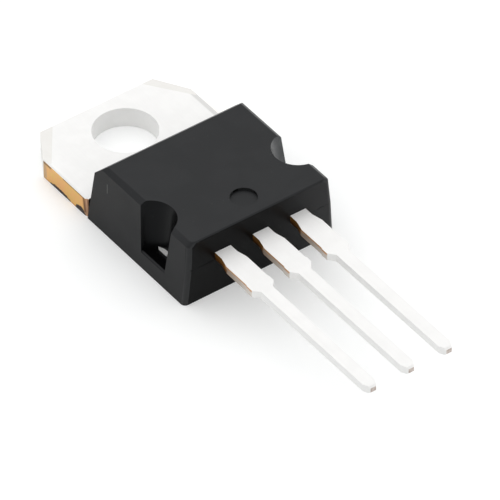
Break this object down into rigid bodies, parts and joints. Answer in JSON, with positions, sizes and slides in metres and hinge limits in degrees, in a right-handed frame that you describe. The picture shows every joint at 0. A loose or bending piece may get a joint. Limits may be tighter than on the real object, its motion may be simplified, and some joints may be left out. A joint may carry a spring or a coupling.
{
  "type": "triac",
  "caption": "Triac in a flat power package: tinned copper heatsink tab with a screw hole, black moulded body and straight tinned leads in a row.",
  "frame": {"origin": "on the mounting hole's axis, at the heatsink's back face", "axes": "+Z out of the front of the body and tab, +Y to the tab's free end so that the leads run towards -Y, +X to the right seen from the front with the tab up"},
  "size_m": [0.0102, 0.0292, 0.0043],
  "materials": {
    "tinned_copper": "matte tin plate over copper, bare sheared copper on the sides",
    "moulding_compound": "black moulded epoxy with a fine eroded texture",
    "solder": "dull solder film",
    "alumina": "matt white alumina",
    "silicon": "metallised and glass-passivated silicon",
    "aluminium_wire": "drawn aluminium wire"
  },
  "bodies": {
    "root": {"heatsink_tab": "tinned_copper", "moulded_body": "moulding_compound", "main_terminal_1_lead": "tinned_copper", "main_terminal_2_lead": "tinned_copper", "gate_lead": "tinned_copper", "insulator_solder": "solder", "ceramic_insulator": "alumina", "pad_solder": "solder", "die_solder": "solder", "silicon_die": "silicon", "main_terminal_wire_outer": "aluminium_wire", "main_terminal_wire_inner": "aluminium_wire", "gate_wire": "aluminium_wire"}
  },
  "joints": []
}
